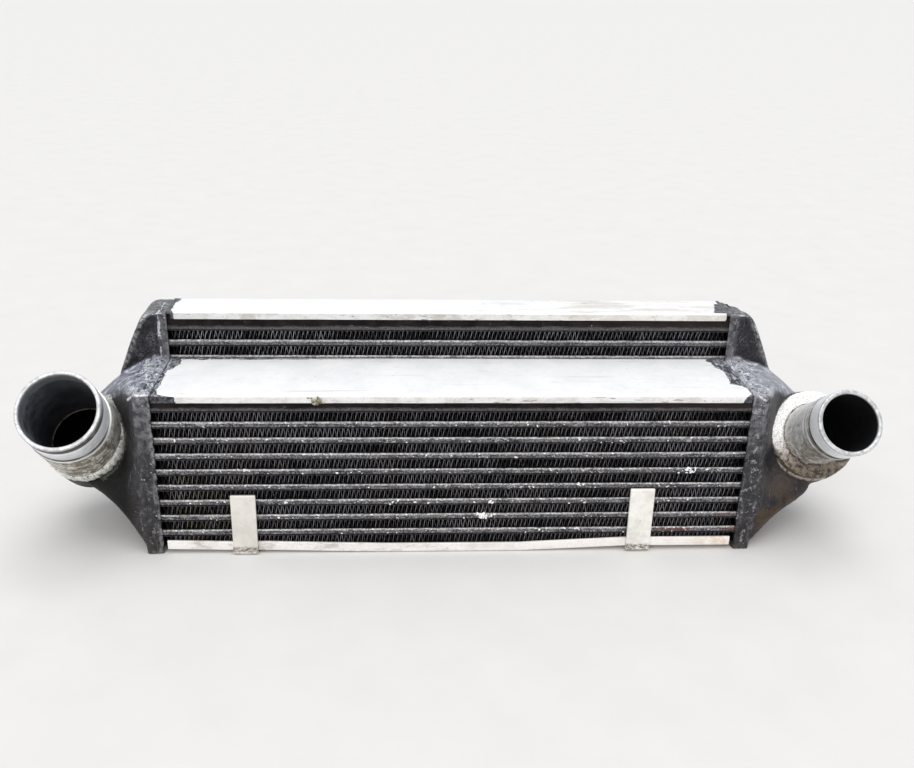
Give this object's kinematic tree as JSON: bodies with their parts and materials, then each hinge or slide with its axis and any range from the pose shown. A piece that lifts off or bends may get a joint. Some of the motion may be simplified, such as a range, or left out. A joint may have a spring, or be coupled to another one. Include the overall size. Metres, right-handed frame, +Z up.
{
  "type": "intercooler",
  "caption": "Stepped bar-and-plate charge air cooler: deep lower core, shallow upper core, black cast end tanks and two bare round spigots facing the same way.",
  "frame": {"origin": "middle of the underside of the bottom plate, at the core's mid width and mid depth, where the plate is lowest", "axes": "+Z up through the core's height; +X along the core's width, from the larger spigot's end to the smaller one's; -Y the side both spigots face"},
  "size_m": [0.7483, 0.1721, 0.201],
  "materials": {
    "fin_paint": "satin black paint, edges rubbed bright",
    "bar_paint": "thin black paint, dusty, edges rubbed bright",
    "inner_fin": "mill finish",
    "cover_plate": "bare rolled sheet, satin",
    "strap": "bare, dull",
    "tank_paint": "satin black paint over a casting, scuffed",
    "spigot": "machined, satin, stained"
  },
  "bodies": {
    "root": {"air_fin_lower_1": "fin_paint", "air_fin_lower_2": "fin_paint", "air_fin_lower_3": "fin_paint", "air_fin_lower_4": "fin_paint", "air_fin_lower_5": "fin_paint", "air_fin_lower_6": "fin_paint", "air_fin_lower_7": "fin_paint", "air_fin_lower_8": "fin_paint", "air_fin_lower_9": "fin_paint", "air_fin_upper_1": "fin_paint", "air_fin_upper_2": "fin_paint", "charge_bars_lower_1": "bar_paint", "charge_bars_lower_2": "bar_paint", "charge_bars_lower_3": "bar_paint", "charge_bars_lower_4": "bar_paint", "charge_bars_lower_5": "bar_paint", "charge_bars_lower_6": "bar_paint", "charge_bars_lower_7": "bar_paint", "charge_bars_lower_8": "bar_paint", "charge_bars_lower_9": "bar_paint", "charge_bars_upper_1": "bar_paint", "charge_bars_upper_2": "bar_paint", "charge_bars_upper_3": "bar_paint", "charge_turbulator_lower_1": "inner_fin", "charge_turbulator_lower_2": "inner_fin", "charge_turbulator_lower_3": "inner_fin", "charge_turbulator_lower_4": "inner_fin", "charge_turbulator_lower_5": "inner_fin", "charge_turbulator_lower_6": "inner_fin", "charge_turbulator_lower_7": "inner_fin", "charge_turbulator_lower_8": "inner_fin", "charge_turbulator_lower_9": "inner_fin", "charge_turbulator_upper_1": "inner_fin", "charge_turbulator_upper_2": "inner_fin", "charge_turbulator_upper_3": "inner_fin", "lower_parting_sheets": "bar_paint", "upper_parting_sheets": "bar_paint", "bottom_side_sheet": "bar_paint", "left_air_end_bars": "bar_paint", "right_air_end_bars": "bar_paint", "top_plate": "cover_plate", "step_plate": "cover_plate", "bottom_plate": "cover_plate", "left_strap_tab": "strap", "right_strap_tab": "strap", "left_end_tank": "tank_paint", "right_end_tank": "tank_paint", "left_spigot": "spigot", "right_spigot": "spigot"}
  },
  "joints": []
}
